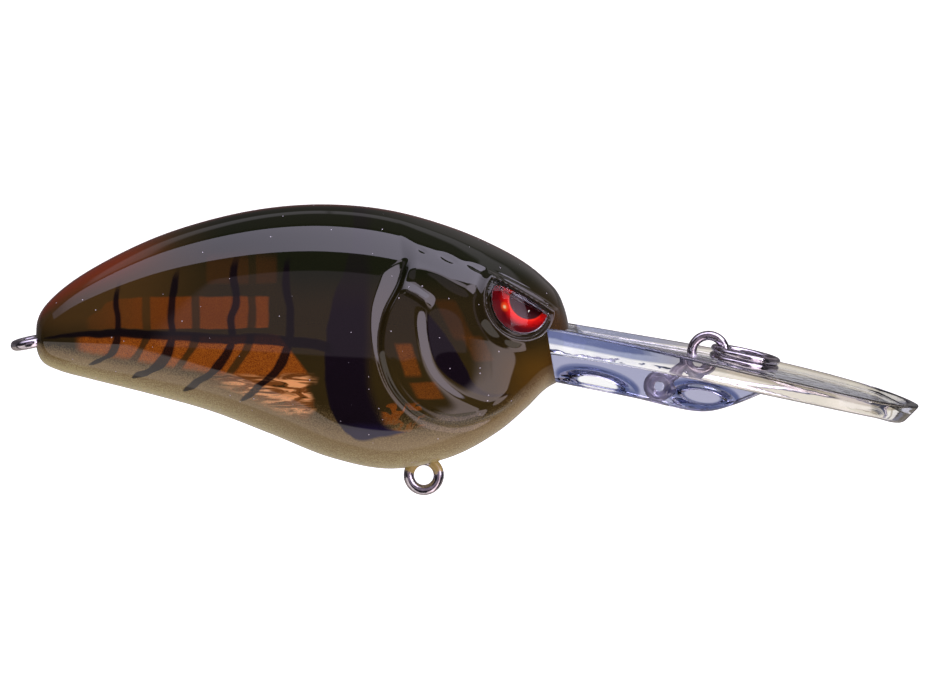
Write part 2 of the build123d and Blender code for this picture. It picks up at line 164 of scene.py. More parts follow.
# Relief of the head in side view: distance from the towing eye and height, in mm.
gill_slit = (
    (-33.8, 10.6), (-34.9, 7.6), (-36.5, 4.2), (-37.0, 0.2), (-35.6, -4.2), (-32.4, -7.4),
    (-28.4, -8.5), (-24.4, -7.3), (-19.0, -3.7),
)
cheek_edge = (
    (-31.9, 5.6), (-31.7, 1.8), (-30.6, -2.0), (-27.9, -4.5), (-24.6, -5.5), (-21.0, -4.7),
)
brow_shelf = ((-34.4, 9.2), (-32.5, 9.4), (-30.5, 8.8), (-27.9, 7.3), (-24.5, 5.8))
fin_bump = ((-35.0, 7.1), (-34.2, 6.9), (-33.1, 6.4), (-32.0, 5.7), (-30.9, 5.1))
# Centre, half length and half height of the small dimples over the gill.
brow_dimples = ((-29.4, 10.4, 0.85, 0.42), (-25.9, 9.25, 1.1, 0.4), (-32.3, 11.3, 0.4, 0.25))


def slope_up(value, low, high, soft):
    """Straight slope from 0 at low to 1 at high with rounded corners."""
    return 0.5 + (np.hypot(value - low, soft) - np.hypot(value - high, soft)) / (2 * (high - low))


def ridge(value, centre, width):
    """A rounded ridge: 1 on its centre line, fading over its width to both sides."""
    return np.exp(-((value - centre) / width) ** 2)


def taper(place, start, end):
    """1 along a line, fading to 0 over these shares of it at its start and end."""
    return rise(place, 0, start) * rise(1 - place, 0, end)


def head_relief(x, h):
    """How far the mould stands out from the plain body."""
    gap, place = line_distance(x, h, gill_slit)
    outer_width = (0.5 + 1.5 * rise(place, 0.0, 0.08) - 1.45 * rise(place, 0.08, 0.36)) * mm
    step = slope_up(gap, -0.05 * mm, 0.45 * mm, 0.13 * mm)
    trench = slope_up(gap, -outer_width, -0.15 * mm, 0.1 * mm) * (1 - step)
    cover = step * ridge(np.maximum(gap - 1.1 * mm, 0), 0, 3.4 * mm)
    seam = ridge(gap, 1.3 * mm, 0.2 * mm) * rise(place, 0.3, 0.5)
    depth = 0.36 * outer_width / mm
    relief = taper(place, 0.05, 0.24) * mm * (0.26 * cover - depth * trench - 0.06 * seam)

    gap, place = line_distance(x, h, cheek_edge)
    hollow = slope_up(gap, -0.85 * mm, 0.0, 0.15 * mm) * ridge(np.maximum(gap, 0), 0, 2.5 * mm)
    swell = ridge(gap, -1.3 * mm, 0.9 * mm)
    relief = relief + taper(place, 0.14, 0.3) * mm * (0.08 * swell - 0.27 * hollow)

    gap, place = line_distance(x, h, brow_shelf)
    shelf = np.where(gap > 0, ridge(gap, 0, 3.4 * mm), ridge(gap, 0, 0.65 * mm))
    relief = relief + taper(place, 0.15, 0.3) * 0.3 * mm * shelf

    gap, place = line_distance(x, h, fin_bump)
    fin = (1 - slope_up(gap, 0.0, 1.0 * mm, 0.15 * mm)) * slope_up(gap, -0.6 * mm, -0.1 * mm, 0.12 * mm)
    relief = relief + taper(place, 0.25, 0.3) * 0.38 * mm * fin
    for centre_x, centre_h, long, high in brow_dimples:
        along = (x / mm - centre_x + 0.35 * (h / mm - centre_h)) / long
        up = (h / mm - centre_h + 0.35 * (x / mm - centre_x)) / high
        relief = relief - 0.05 * mm * ridge(along ** 2 + up ** 2, 0, 1)
    return relief


# Both eyes: a half-round set into a flat facing forward and up, brow edge on top.
eye_radius = 3.65 * mm
eye_yaw = radians(27.0)
eye_pitch = radians(21.0)
brow_tilt = radians(33.0)
brow_offset = 0.6 * mm
eye_x = nose_x - 5.63 * mm
eye_row = np.argmin(np.abs(tail_x + ladder[:, 0] - eye_x))
eye_height = 6.1 * mm
eye_out = ladder[eye_row, 3] * sqrt(1 - ((eye_height - axis_height) / ladder[eye_row, 1]) ** 2)
eye_place = np.array((eye_x, -eye_out, eye_height))
eye_out_way = np.array((sin(eye_yaw) * cos(eye_pitch), -cos(eye_yaw) * cos(eye_pitch), sin(eye_pitch)))
eye_along = np.array((cos(eye_yaw), sin(eye_yaw), 0))
eye_up = np.cross(eye_out_way, eye_along)
brow_along = eye_along * cos(brow_tilt) - eye_up * sin(brow_tilt)
brow_up = eye_along * sin(brow_tilt) + eye_up * cos(brow_tilt)


def eye_gap(points):
    """Distance outside the eye's outline, above the brow, along the brow and off the eye's flat."""
    away = points - eye_place
    across, up, off = away @ brow_along, away @ brow_up, away @ eye_out_way
    brow_gap = up - brow_offset
    return np.maximum(np.hypot(across, up) - eye_radius, brow_gap), brow_gap, across, off


def socket_shift(points):
    """Move along the eye's outward line that forms its pocket, rim ledge and brow folds."""
    gap, brow_gap, across, off = eye_gap(points)
    ledge = -0.05 * mm - off
    groove = -0.3 * mm * ridge(gap, 0.3 * mm, 0.2 * mm)
    lip = 0.1 * mm * ridge(gap, 0.8 * mm, 0.24 * mm)
    fold_fade = rise(4.2 * mm - np.abs(across), 0, 1.8 * mm) * rise(brow_gap, 0, 0.4 * mm)
    folds = 0.09 * mm * np.cos(2 * pi * brow_gap / (0.75 * mm)) * fold_fade
    folds = folds * rise(2.2 * mm - brow_gap, 0, 1.0 * mm)
    blend = 1 - rise(gap, 0.5 * mm, np.where(brow_gap > 0, 1.8 * mm, 1.7 * mm))
    pocket = -1.35 * mm - off
    return np.where(gap < -0.14 * mm, pocket, blend * ledge + groove + lip + folds)


def choose(piece=None):
    """Select one piece and make it active, or select nothing."""
    bpy.ops.object.select_all(action="DESELECT")
    if piece:
        piece.select_set(True)
        bpy.context.view_layer.objects.active = piece


def unit_grid(name, columns, rows):
    """A new grid piece, and the place of each of its vertices as shares from 0 to 1."""
    choose()
    bpy.ops.mesh.primitive_grid_add(x_subdivisions=columns, y_subdivisions=rows, size=1)
    piece = bpy.context.object
    piece.name = name
    places = np.empty(3 * len(piece.data.vertices))
    piece.data.vertices.foreach_get("co", places)
    return piece, places.reshape(-1, 3) + 0.5


def edit_all():
    """Start editing the active piece with its whole mesh selected."""
    bpy.ops.object.mode_set(mode="EDIT")
    bpy.ops.mesh.select_all(action="SELECT")


def select_openings():
    """Select just the edges round the openings of the mesh."""
    bpy.ops.mesh.select_all(action="DESELECT")
    bpy.ops.mesh.select_mode(type="EDGE")
    bpy.ops.mesh.select_non_manifold()


def finish_mesh():
    """Turn all faces outward and stop editing."""
    bpy.ops.mesh.select_all(action="SELECT")
    bpy.ops.mesh.normals_make_consistent(inside=False)
    bpy.ops.object.mode_set(mode="OBJECT")


def close_mesh(weld):
    """Weld vertices nearer than this to each other, then fill the openings."""
    edit_all()
    bpy.ops.mesh.remove_doubles(threshold=weld)
    select_openings()
    bpy.ops.mesh.edge_face_add()
    finish_mesh()


head_share = 0.55             # the ladder ahead of this share gets the finer columns
tail_columns = 0.27           # share of the columns behind it
row_gather = 13.0             # degrees that the rows draw in toward the middle of the flank
eye_reach = 7.5 * mm          # the socket shapes nothing beyond this distance
weld_gap = 0.002 * mm
right_half, places = unit_grid("right_body_half", 336, 286)
share = np.where(
    places[:, 0] < tail_columns,
    places[:, 0] / tail_columns * head_share,
    head_share + (places[:, 0] - tail_columns) / (1 - tail_columns) * (1 - head_share),
)
angle = 180 * places[:, 1] - 90
angle = angle - row_gather * np.sin(np.radians(2 * angle))
surface = body_surface(share, angle)
side_height = surface[:, 2] + stencil_lean * surface[:, 1]
shaped = surface + body_normal(share, angle) * head_relief(surface[:, 0], side_height)[:, None]
near_eye = np.linalg.norm(shaped - eye_place, axis=1) < eye_reach
shift = np.where(near_eye, socket_shift(shaped), 0)
shaped = shaped + shift[:, None] * eye_out_way
shaped[:, 1] = np.minimum(shaped[:, 1], 0)
on_parting = (places[:, 1] < 1e-6) | (places[:, 1] > 1 - 1e-6)
shaped[on_parting, 1] = 0
right_half.data.vertices.foreach_set("co", shaped.ravel())
girth = right_half.data.attributes.new("girth", "FLOAT", "POINT")
girth.data.foreach_set("value", angle / 90)
close_mesh(weld_gap)
bpy.ops.object.shade_smooth_by_angle(angle=radians(40))

# Paint: places are in side view, in mm ahead of the towing eye and above it.
back_green = "15180a"
flank_olive = "28210e"
low_olive = "342a0f"
throat_gold = "573d10"
belly_tan = "8a774e"
belly_cream = "bdb47a"
copper_flake = "6b3309"
bright_copper = "b5651c"
painted_glint_gold = "f8b270"
copper_tone = "7d4a1e"
craw_black = "0c060b"
bar_purple = "140c14"
bar_navy = "211a38"
tail_amber = "7a2c10"
tail_brown = "4e3818"
nose_amber = "3e2608"


def paint(code):
    """Linear colour of a six-digit sRGB code."""
    channels = [int(code[k:k + 2], 16) / 255 for k in (0, 2, 4)]
    linear = [c / 12.92 if c <= 0.04045 else ((c + 0.055) / 1.055) ** 2.4 for c in channels]
    return (*linear, 1)


white = (1, 1, 1, 1)


def feed(node, inputs):
    """Set a node's inputs: each is a value or another node's socket."""
    for name, value in inputs.items():
        if isinstance(value, bpy.types.NodeSocket):
            node.id_data.links.new(value, node.inputs[name])
        else:
            node.inputs[name].default_value = value


def shader_node(source, kind, inputs=None, **settings):
    """A new shader node of a kind, with settings and inputs, in a tree or beside a socket in it."""
    node = source.id_data.nodes.new("ShaderNode" + kind)
    for name, value in settings.items():
        setattr(node, name, value)
    feed(node, inputs or {})
    return node


def new_material(name):
    """A new material, its node tree and its shader."""
    material = bpy.data.materials.new(name)
    material.use_nodes = True
    return material, material.node_tree, material.node_tree.nodes["Principled BSDF"]


def reckon(operation, first, second=0.0, third=0.0):
    """Result of one sum, with a socket among its values."""
    inputs = {0: first, 1: second, 2: third}
    source = next(value for value in inputs.values() if isinstance(value, bpy.types.NodeSocket))
    return shader_node(source, "Math", inputs, operation=operation).outputs[0]


def times(first, second):
    """Product of two values."""
    return reckon("MULTIPLY", first, second)


def minus(first, second):
    """First value less the second."""
    return reckon("SUBTRACT", first, second)


def apart(first, second):
    """Distance between two values."""
    return reckon("ABSOLUTE", minus(first, second))


def sloped(value, slope, start):
    """A value times a slope, plus a start."""
    return reckon("MULTIPLY_ADD", value, slope, start)


def fade(value, low, high, start=0.0, end=1.0):
    """Smooth change from start at low to end at high."""
    inputs = {0: value, 1: low, 2: high, 3: start, 4: end}
    return shader_node(
        value, "MapRange", inputs, interpolation_type="SMOOTHSTEP").outputs[0]


def all_of(*masks):
    """Product of masks: each is a socket, or the value and limits of a fade."""
    masks = [fade(*mask) if isinstance(mask, tuple) else mask for mask in masks]
    product = masks[0]
    for mask in masks[1:]:
        product = times(product, mask)
    return product


def layer(under, over, mask):
    """One coat over another where the mask is 1: colours may be codes, and the mask a fade's values."""
    under, over = (paint(colour) if isinstance(colour, str) else colour for colour in (under, over))
    mask = all_of(mask)
    inputs = {0: mask, 6: under, 7: over}
    return shader_node(mask, "Mix", inputs, data_type="RGBA").outputs[2]


def coats(colour, *over):
    """Several coats over a colour, each given as its colour and mask."""
    for coat, mask in over:
        colour = layer(colour, coat, mask)
    return colour


def drawn_curve(value, points):
    """A drawn edge: the second number of each point, read at a value of the first."""
    first = [point[0] for point in points]
    second = [point[1] for point in points]
    low, high = min(first), max(first)
    floor, top = min(second), max(second)
    top = max(top, floor + 0.001)
    share = shader_node(value, "MapRange", {0: value, 1: low, 2: high}).outputs[0]
    node = shader_node(value, "FloatCurve", {1: share})
    curve = node.mapping.curves[0]
    spots = sorted(((a - low) / (high - low), (b - floor) / (top - floor)) for a, b in points)
    curve.points[0].location = spots[0]
    curve.points[1].location = spots[-1]
    for spot in spots[1:-1]:
        curve.points.new(*spot)
    node.mapping.update()
    inputs = {0: node.outputs[0], 3: floor, 4: top}
    return shader_node(value, "MapRange", inputs).outputs[0]


def place_in_mm(tree):
    """Object place in mm from the towing eye."""
    place = shader_node(tree, "TexCoord").outputs["Object"]
    inputs = {0: place, 3: 1 / mm}
    return shader_node(place, "VectorMath", inputs, operation="SCALE").outputs[0]


def side_view(tree):
    """Place in mm, then its parts: ahead of the towing eye, out from the middle, height as stencilled."""
    place = place_in_mm(tree)
    parts = shader_node(tree, "SeparateXYZ", {0: place})
    out = reckon("ABSOLUTE", parts.outputs[1])
    height = sloped(out, -stencil_lean, parts.outputs[2])
    return place, parts.outputs[0], out, height


def noise(place, scale, detail=2.0, distortion=0.0):
    """A random grain, finer at a larger scale."""
    inputs = {"Vector": place, "Scale": scale, "Detail": detail, "Distortion": distortion}
    return shader_node(place, "TexNoise", inputs).outputs[0]


def make_dust_group():
    """Lint and dust that settled on a wet clear coat: a mask of sparse pale specks."""
    group = bpy.data.node_groups.new("coat_dust", "ShaderNodeTree")
    group.interface.new_socket("Place", in_out="INPUT", socket_type="NodeSocketVector")
    for name, usual in (("Specks per mm", 0.9), ("Speck size", 0.06)):
        socket = group.interface.new_socket(name, in_out="INPUT", socket_type="NodeSocketFloat")
        socket.default_value = usual
    group.interface.new_socket("Dust", in_out="OUTPUT", socket_type="NodeSocketFloat")
    entry = group.nodes.new("NodeGroupInput").outputs
    cells = shader_node(group, "TexVoronoi", {
        "Vector": entry["Place"], "Scale": entry["Specks per mm"]}).outputs
    chosen = shader_node(group, "SeparateColor", {0: cells["Color"]}).outputs[0]
    near = reckon("LESS_THAN", cells["Distance"], entry["Speck size"])
    rare = reckon("GREATER_THAN", chosen, 0.55)
    feed(group.nodes.new("NodeGroupOutput"), {"Dust": all_of(near, rare)})
    return group


coat_dust = make_dust_group()

# Craw bars: centre line and half width of each, at heights from its foot to its top.
craw_bars = (
    (((-1.5, -69.6), (-0.9, -68.6), (0.0, -66.9), (1.9, -66.4), (3.6, -66.3), (5.8, -66.6),
      (8.3, -66.0)),
     ((-1.5, 0.0), (-1.0, 0.5), (0.0, 0.5), (3.0, 0.33), (5.8, 0.3), (8.3, 0.1))),
    (((-3.0, -64.6), (-2.5, -63.8), (-0.8, -61.2), (1.6, -60.3), (4.0, -60.4), (7.6, -60.0),
      (9.9, -59.5)),
     ((-3.0, 0.0), (-2.3, 0.85), (-0.8, 0.7), (1.6, 0.4), (4.0, 0.36), (7.6, 0.36), (9.9, 0.1))),
    (((-4.5, -59.0), (-3.2, -57.2), (-1.1, -54.7), (1.3, -53.6), (3.6, -53.6), (5.8, -53.0),
      (8.6, -53.4), (11.4, -52.7)),
     ((-4.5, 0.0), (-3.2, 0.65), (-1.1, 0.6), (1.3, 0.42), (5.8, 0.4), (8.6, 0.4), (11.4, 0.1))),
    (((-5.6, -52.5), (-4.0, -50.7), (-1.5, -48.2), (1.0, -47.3), (4.3, -47.0), (7.6, -47.5),
      (11.2, -47.1)),
     ((-5.6, 0.0), (-4.0, 0.55), (-1.5, 0.6), (1.0, 0.45), (4.3, 0.4), (7.6, 0.38), (11.2, 0.15))),
)
lateral_line = ((-75.0, 1.55), (-71.1, 1.95), (-66.8, 2.1), (-60.7, 1.85), (-53.8, 1.45),
                (-49.4, 1.35), (-42.6, 0.4))
lateral_half = ((-75.0, 0.05), (-71.1, 0.28), (-66.0, 0.45), (-53.6, 0.55), (-42.6, 0.6))
bar_rear = ((-9.6, -40.2), (-8.4, -41.5), (-7.2, -42.1), (-5.0, -42.8), (-2.2, -43.1), (1.5, -42.9),
            (4.5, -42.5), (8.0, -41.4), (12.0, -40.0))
bar_front = ((-10.0, -31.5), (-9.2, -33.0), (-8.5, -36.1), (-6.7, -37.3), (-3.2, -38.3), (12.0, -38.3))
bar_foot = ((-43.0, -7.0), (-41.5, -8.4), (-40.5, -9.4), (-38.8, -10.1), (-36.8, -9.7), (-35.0, -9.3),
            (-31.5, -8.4))
cheek_top = ((-31.6, 4.4), (-30.1, 2.6), (-28.6, 0.4), (-27.4, -1.7), (-26.5, -3.4),
             (-24.9, -4.5), (-22.0, -4.75))
cheek_foot = ((-31.6, 1.8), (-31.0, -0.8), (-29.7, -2.6), (-27.8, -3.9), (-26.3, -4.7),
              (-24.0, -5.1), (-22.0, -4.85))
green_edge = ((-75.0, 8.0), (-60.0, 11.0), (-51.0, 11.0), (-46.0, 7.5), (-16.0, 8.0))
belly_edge = ((-75.7, -12.0), (-73.0, -13.0), (-66.0, -20.0), (-60.0, -23.0), (-52.0, -30.0),
              (-47.0, -35.0), (-41.0, -37.0), (-35.0, -36.5), (-31.0, -38.0), (-27.0, -43.5),
              (-23.5, -45.0), (-21.0, -44.0), (-19.0, -41.0), (-17.5, -34.0))
secondary_bars = (-63.2, -57.6, -51.3)
upper_window_top = ((-70.2, 3.4), (-68.5, 4.8), (-66.5, 5.9), (-63.0, 6.2), (-49.0, 6.2))
lower_window_foot = ((-71.5, 0.3), (-66.0, -0.6), (-58.0, -1.9), (-50.0, -2.7), (-47.0, -2.5), (-45.5, -2.3))
# Copper patches: centre, height, half length, half height, slant and strength.
copper_patches = (
    (-33.8, -0.9, 1.15, 2.1, 0.3, 0.4), (-31.7, -4.4, 1.8, 1.1, 0.5, 0.4),
    (-26.0, 0.4, 1.4, 1.6, 0.5, 0.12), (-28.6, 3.6, 1.4, 2.6, 0.5, 0.12),
)


def base_coats(x, h):
    """Olive under a green back, browner toward the tail and gold at the throat."""
    above = minus(h, drawn_curve(x, green_edge))
    hind = all_of((x, -54.0, -67.0), (h, 1.0, 4.0))
    throat = all_of((x, -25.0, -19.0), (h, 2.0, -2.5))
    return coats(
        low_olive, (flank_olive, (h, -4.0, 4.0)), (back_green, (above, -3.0, 2.0)),
        (tail_brown, times(hind, 0.7)), (throat_gold, throat))


def foil_with_painted_glints(place, x, h, colour):
    """Crinkled copper foil low on the shoulder, with dark olive streaks and painted gold glints of light
    along its crinkles.
    """
    drawn_out = shader_node(place, "Mapping", {
        0: place, 2: (0, radians(-14), 0), 3: (0.24, 0.5, 1.5)}).outputs[0]
    crinkle = noise(drawn_out, 1.0, 3.0, 1.6)
    # Painted highlight: the gold streaks are glints of light on the foil, painted into its colour.
    foil = coats(
        copper_tone, (painted_glint_gold, (crinkle, 0.46, 0.6)), (low_olive, (crinkle, 0.41, 0.34)))
    ragged_x = sloped(noise(place, 0.35), 3.0, x)
    window = all_of(
        (sloped(h, 0.7, x), -60.0, -54.5), (ragged_x, -42.6, -43.8),
        (h, -2.2, -3.2), (sloped(x, 0.42, h), -28.2, -26.4))
    return layer(colour, foil, window)


def flake_windows(place, x, h, colour):
    """Copper flake left clear of olive; gives the colour and the window under the lateral line."""
    grain = fade(noise(place, 9.0), 0.25, 0.75)
    copper = layer(copper_flake, bright_copper, all_of(grain, (h, 3.5, 0.5, 0.25, 1.0)))
    gaps = 1.0
    for centre in secondary_bars:
        bar_x = sloped(fade(h, 2.0, -4.0), -3.0, centre)
        gaps = all_of(gaps, (apart(x, bar_x), 0.3, 0.62, 0.12, 1.0))
    over_top = minus(h, drawn_curve(x, upper_window_top))
    upper = all_of(
        (x, -70.2, -69.4), (x, -49.2, -49.6), gaps, (h, 2.55, 2.75), (over_top, 0.15, -0.15))
    upper = times(upper, fade(x, -71.0, -60.0, 0.15, 0.7))
    high = all_of((x, -56.6, -56.2), (x, -48.3, -48.8), gaps, (h, 7.5, 7.9), (h, 11.6, 10.0))
    over_foot = minus(h, drawn_curve(x, lower_window_foot))
    lower = all_of(
        (x, -71.5, -70.0), (h, 2.0, 1.5), gaps, (over_foot, -0.5, 0.25),
        (sloped(h, 0.75, x), -46.6, -47.2))
    colour = coats(colour, (copper, upper), (copper, times(high, 0.1)), (copper, lower))
    colour = foil_with_painted_glints(place, x, h, colour)
    for centre, level, long, high, slant, strength in copper_patches:
        across = sloped(minus(h, level), slant, x)
        patch = all_of(
            (apart(across, centre), long, long * 0.6),
            (apart(h, level), high, high * 0.7))
        colour = layer(colour, copper, times(patch, strength))
    flecks = all_of(
        (x, -37.0, -36.4), (x, -31.6, -32.6), (h, -10.0, -9.0), (h, -5.6, -6.2),
        (noise(place, 0.75, 1.0, 0.8), 0.49, 0.53))
    return layer(colour, copper, times(flecks, 0.6)), lower


def fogged_coats(place, x, h, girth, colour):
    """Belly of cream fogged over tan; amber on the tail's top, the nose and the back's ridge."""
    depth = minus(drawn_curve(x, belly_edge), times(girth, 90.0))
    fog = fade(noise(place, 6.5), 0.3, 0.7)
    tan_depth = sloped(fog, 9.0, minus(depth, 4.5))
    cream_depth = sloped(fog, 22.0, minus(depth, 11.0))
    tail = all_of((x, -59.0, -68.0), (girth, 0.42, 0.8))
    nose = all_of((x, -18.6, -17.2), (h, 5.5, 4.0))
    top = fade(girth, 0.9, 0.99)
    return coats(
        colour, (belly_tan, (tan_depth, -6.0, 16.0)), (belly_cream, (cream_depth, 14.0, 52.0)),
        (tail_amber, times(tail, 0.8)), (nose_amber, times(nose, 0.85)),
        (tail_amber, times(top, 0.5)))


def dark_marks(x, h, colour):
    """Broad bar behind the gills, cheek patch, craw bars and lateral line."""
    behind = minus(x, drawn_curve(h, bar_rear))
    ahead = minus(x, drawn_curve(h, bar_front))
    above = minus(h, drawn_curve(x, bar_foot))
    bar = all_of(
        (behind, -0.2, 0.15), (ahead, 0.9, -0.7), (h, 10.5, 4.0, 0.35, 1.0), (above, -0.15, 0.3))
    bar_colour = layer(bar_purple, bar_navy, (h, -7.8, -9.2))
    above = minus(h, drawn_curve(x, cheek_foot))
    below = minus(drawn_curve(x, cheek_top), h)
    cheek = all_of((above, -0.1, 0.3), (below, -0.2, 0.35), (x, -31.9, -31.5), (x, -21.8, -22.6))
    marks = 0.0
    for centres, halves in craw_bars:
        off = apart(x, drawn_curve(h, centres))
        edge = minus(off, drawn_curve(h, halves))
        low, high = centres[0][0], centres[-1][0]
        mark = all_of((edge, 0.18, -0.12), (h, low - 0.1, low + 0.15), (h, high, high - 2.0))
        marks = reckon("MAXIMUM", marks, mark)
    off = apart(h, drawn_curve(x, lateral_line))
    edge = minus(off, drawn_curve(x, lateral_half))
    line = all_of((edge, 0.15, -0.12), (x, -75.1, -74.5), (x, -42.0, -42.8))
    marks = times(reckon("MAXIMUM", marks, line), 0.93)
    return coats(colour, (bar_colour, bar), (bar_purple, cheek), (craw_black, marks))


def make_body_paint():
    """Sprayed coats over copper flake, painted glints in the foil, dust and all, under a thick clear coat.
    """
    material, tree, shader = new_material("craw_paint")
    place, x, _, height = side_view(tree)
    girth = shader_node(tree, "Attribute", attribute_name="girth").outputs["Fac"]
    # Hand-held stencils: every edge wanders a little.
    shift = sloped(noise(place, 0.4, 1.0), 0.44, -0.22)
    x = reckon("ADD", x, shift)
    h = minus(height, shift)
    colour, copper_window = flake_windows(place, x, h, base_coats(x, h))
    colour = fogged_coats(place, x, h, girth, colour)
    colour = dark_marks(x, h, colour)
    dust = shader_node(tree, "Group", {"Place": place}, node_tree=coat_dust)
    feed(shader, {
        "Base Color": layer(colour, "c9c4cc", dust.outputs["Dust"]),
        "Metallic": times(copper_window, 0.35), "Roughness": 0.5, "IOR": 1.45,
        "Specular IOR Level": 0.0, "Coat Weight": 1.0, "Coat Roughness": 0.02, "Coat IOR": 1.5,
    })
    return material


def mirrored(piece, name):
    """A copy of a piece on the other side of the parting plane."""
    choose(piece)
    bpy.ops.object.duplicate()
    other = bpy.context.object
    other.name = name
    other.data.transform(Matrix.Diagonal((1, -1, 1, 1)))
    other.data.flip_normals()
    return other


right_half.data.materials.append(make_body_paint())
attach(right_half, "lure")
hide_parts("right_shell")

left_half = mirrored(right_half, "left_body_half")
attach(left_half, "lure")
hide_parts("left_shell")


# ---------------------------------------------------------------------------
# Eyes: a vacuum-plated half-round cup whose red lacquered bowl carries the black
# pupil, under a clear acrylic dome. Each is glued into its socket.
# ---------------------------------------------------------------------------
eye_steps = 160
bowl_rings, dome_rings = 180, 120
bowl_skirt, dome_skirt = 1.0 * mm, -1.2 * mm
eye_proud = 0.25 * mm         # rim above the flat it stands on
rim_width = 0.24 * mm
cup_depth = 1.2 * mm
corner_round = 0.25 * mm
bowl_depth = 0.75 * mm
bowl_top = eye_proud - 0.2 * mm
bowl_edge = eye_radius - rim_width
bowl_radius = (bowl_edge ** 2 + bowl_depth ** 2) / (2 * bowl_depth)
brow_edge = brow_offset - rim_width
lens_lap = 0.03 * mm          # the dome reaches this far onto the rim
dome_rise = 0.85 * mm
dome_edge = bowl_edge + lens_lap
dome_radius = (dome_edge ** 2 + dome_rise ** 2) / (2 * dome_rise)
pupil_place = (0.74 * mm, 0.83 * mm)
hot_streak_place = (-1.35 * mm, -1.17 * mm)
print_level = -0.6 * mm
eye_stand = Matrix.Translation(Vector(eye_place)) @ Matrix(
    (brow_along, brow_up, eye_out_way)
).transposed().to_4x4()


def cap_of_ball(radius, rings, middle, level, skirt, brow_cut):
    """A ball cut off at a level, with a straight skirt from the cut and a flat along the brow."""
    choose()
    bpy.ops.mesh.primitive_uv_sphere_add(
        segments=eye_steps, ring_count=rings, radius=radius, location=(0, 0, middle))
    bpy.ops.object.transform_apply(location=True)
    edit_all()
    bpy.ops.mesh.bisect(
        plane_co=(0, 0, level), plane_no=(0, 0, 1), clear_outer=skirt > 0, clear_inner=skirt < 0)
    select_openings()
    bpy.ops.mesh.extrude_edges_move(TRANSFORM_OT_translate={"value": (0, 0, skirt)})
    bpy.ops.mesh.edge_face_add()
    bpy.ops.mesh.select_all(action="SELECT")
    bpy.ops.mesh.bisect(plane_co=(0, brow_cut, 0), plane_no=(0, 1, 0), use_fill=True, clear_outer=True)
    finish_mesh()
    return bpy.context.object


def combine(piece, other, operation):
    """Cut another piece out of this one, or join it on."""
    choose(piece)
    change = piece.modifiers.new("change", "BOOLEAN")
    change.operation = operation
    change.solver = "EXACT"
    change.object = other
    bpy.ops.object.modifier_apply(modifier=change.name)


def round_edges(piece, width, sharp, smooth):
    """Round the edges sharper than one angle, then shade smooth below another, in degrees."""
    choose(piece)
    rounding = piece.modifiers.new("rounding", "BEVEL")
    rounding.width = width
    rounding.segments = 3
    rounding.limit_method = "ANGLE"
    rounding.angle_limit = radians(sharp)
    bpy.ops.object.modifier_apply(modifier=rounding.name)
    bpy.ops.object.shade_smooth_by_angle(angle=radians(smooth))


def seat(piece):
    """Carry an eye's piece, modelled flat at the origin, to where it stands."""
    piece.data.transform(eye_stand)
    piece.data.update()


choose()
bpy.ops.mesh.primitive_circle_add(vertices=eye_steps, radius=eye_radius, fill_type="NGON")
right_cup = bpy.context.object
right_cup.name = "right_eye_bowl"
edit_all()
bpy.ops.mesh.select_mode(type="VERT")
bpy.ops.mesh.bisect(plane_co=(0, brow_offset, 0), plane_no=(0, 1, 0), clear_outer=True)
bpy.ops.mesh.select_all(action="DESELECT")
bpy.ops.object.mode_set(mode="OBJECT")
corner_x = sqrt(eye_radius ** 2 - brow_offset ** 2)
for vertex in right_cup.data.vertices:
    at_brow = abs(vertex.co.y - brow_offset) < 0.001 * mm
    vertex.select = at_brow and abs(abs(vertex.co.x) - corner_x) < 0.02 * mm
bpy.ops.object.mode_set(mode="EDIT")
bpy.ops.mesh.bevel(offset=corner_round, segments=5, affect="VERTICES")
bpy.ops.mesh.select_all(action="SELECT")
bpy.ops.transform.translate(value=(0, 0, eye_proud))
select_openings()
bpy.ops.mesh.extrude_edges_move(TRANSFORM_OT_translate={"value": (0, 0, -cup_depth - eye_proud)})
bpy.ops.mesh.edge_face_add()
finish_mesh()
hollow_tool = cap_of_ball(
    bowl_radius, bowl_rings, bowl_top - bowl_depth + bowl_radius, bowl_top, bowl_skirt, brow_edge)
combine(right_cup, hollow_tool, "DIFFERENCE")
bpy.data.objects.remove(hollow_tool)
round_edges(right_cup, 0.07 * mm, 50, 50)


def make_chrome():
    """Bright plating with faint smears."""
    material, tree, shader = new_material("eye_chrome")
    smear = noise(place_in_mm(tree), 3.0)
    feed(shader, {
        "Base Color": layer("f4f2f6", "d6d2da", (smear, 0.4, 0.7)),
        "Metallic": 1.0, "Roughness": fade(smear, 0.3, 0.8, 0.3, 0.45),
    })
    return material


def gap_to(place, spot):
    """Distance of a place from a spot."""
    inputs = {0: place, 1: spot}
    return shader_node(place, "VectorMath", inputs, operation="DISTANCE").outputs["Value"]


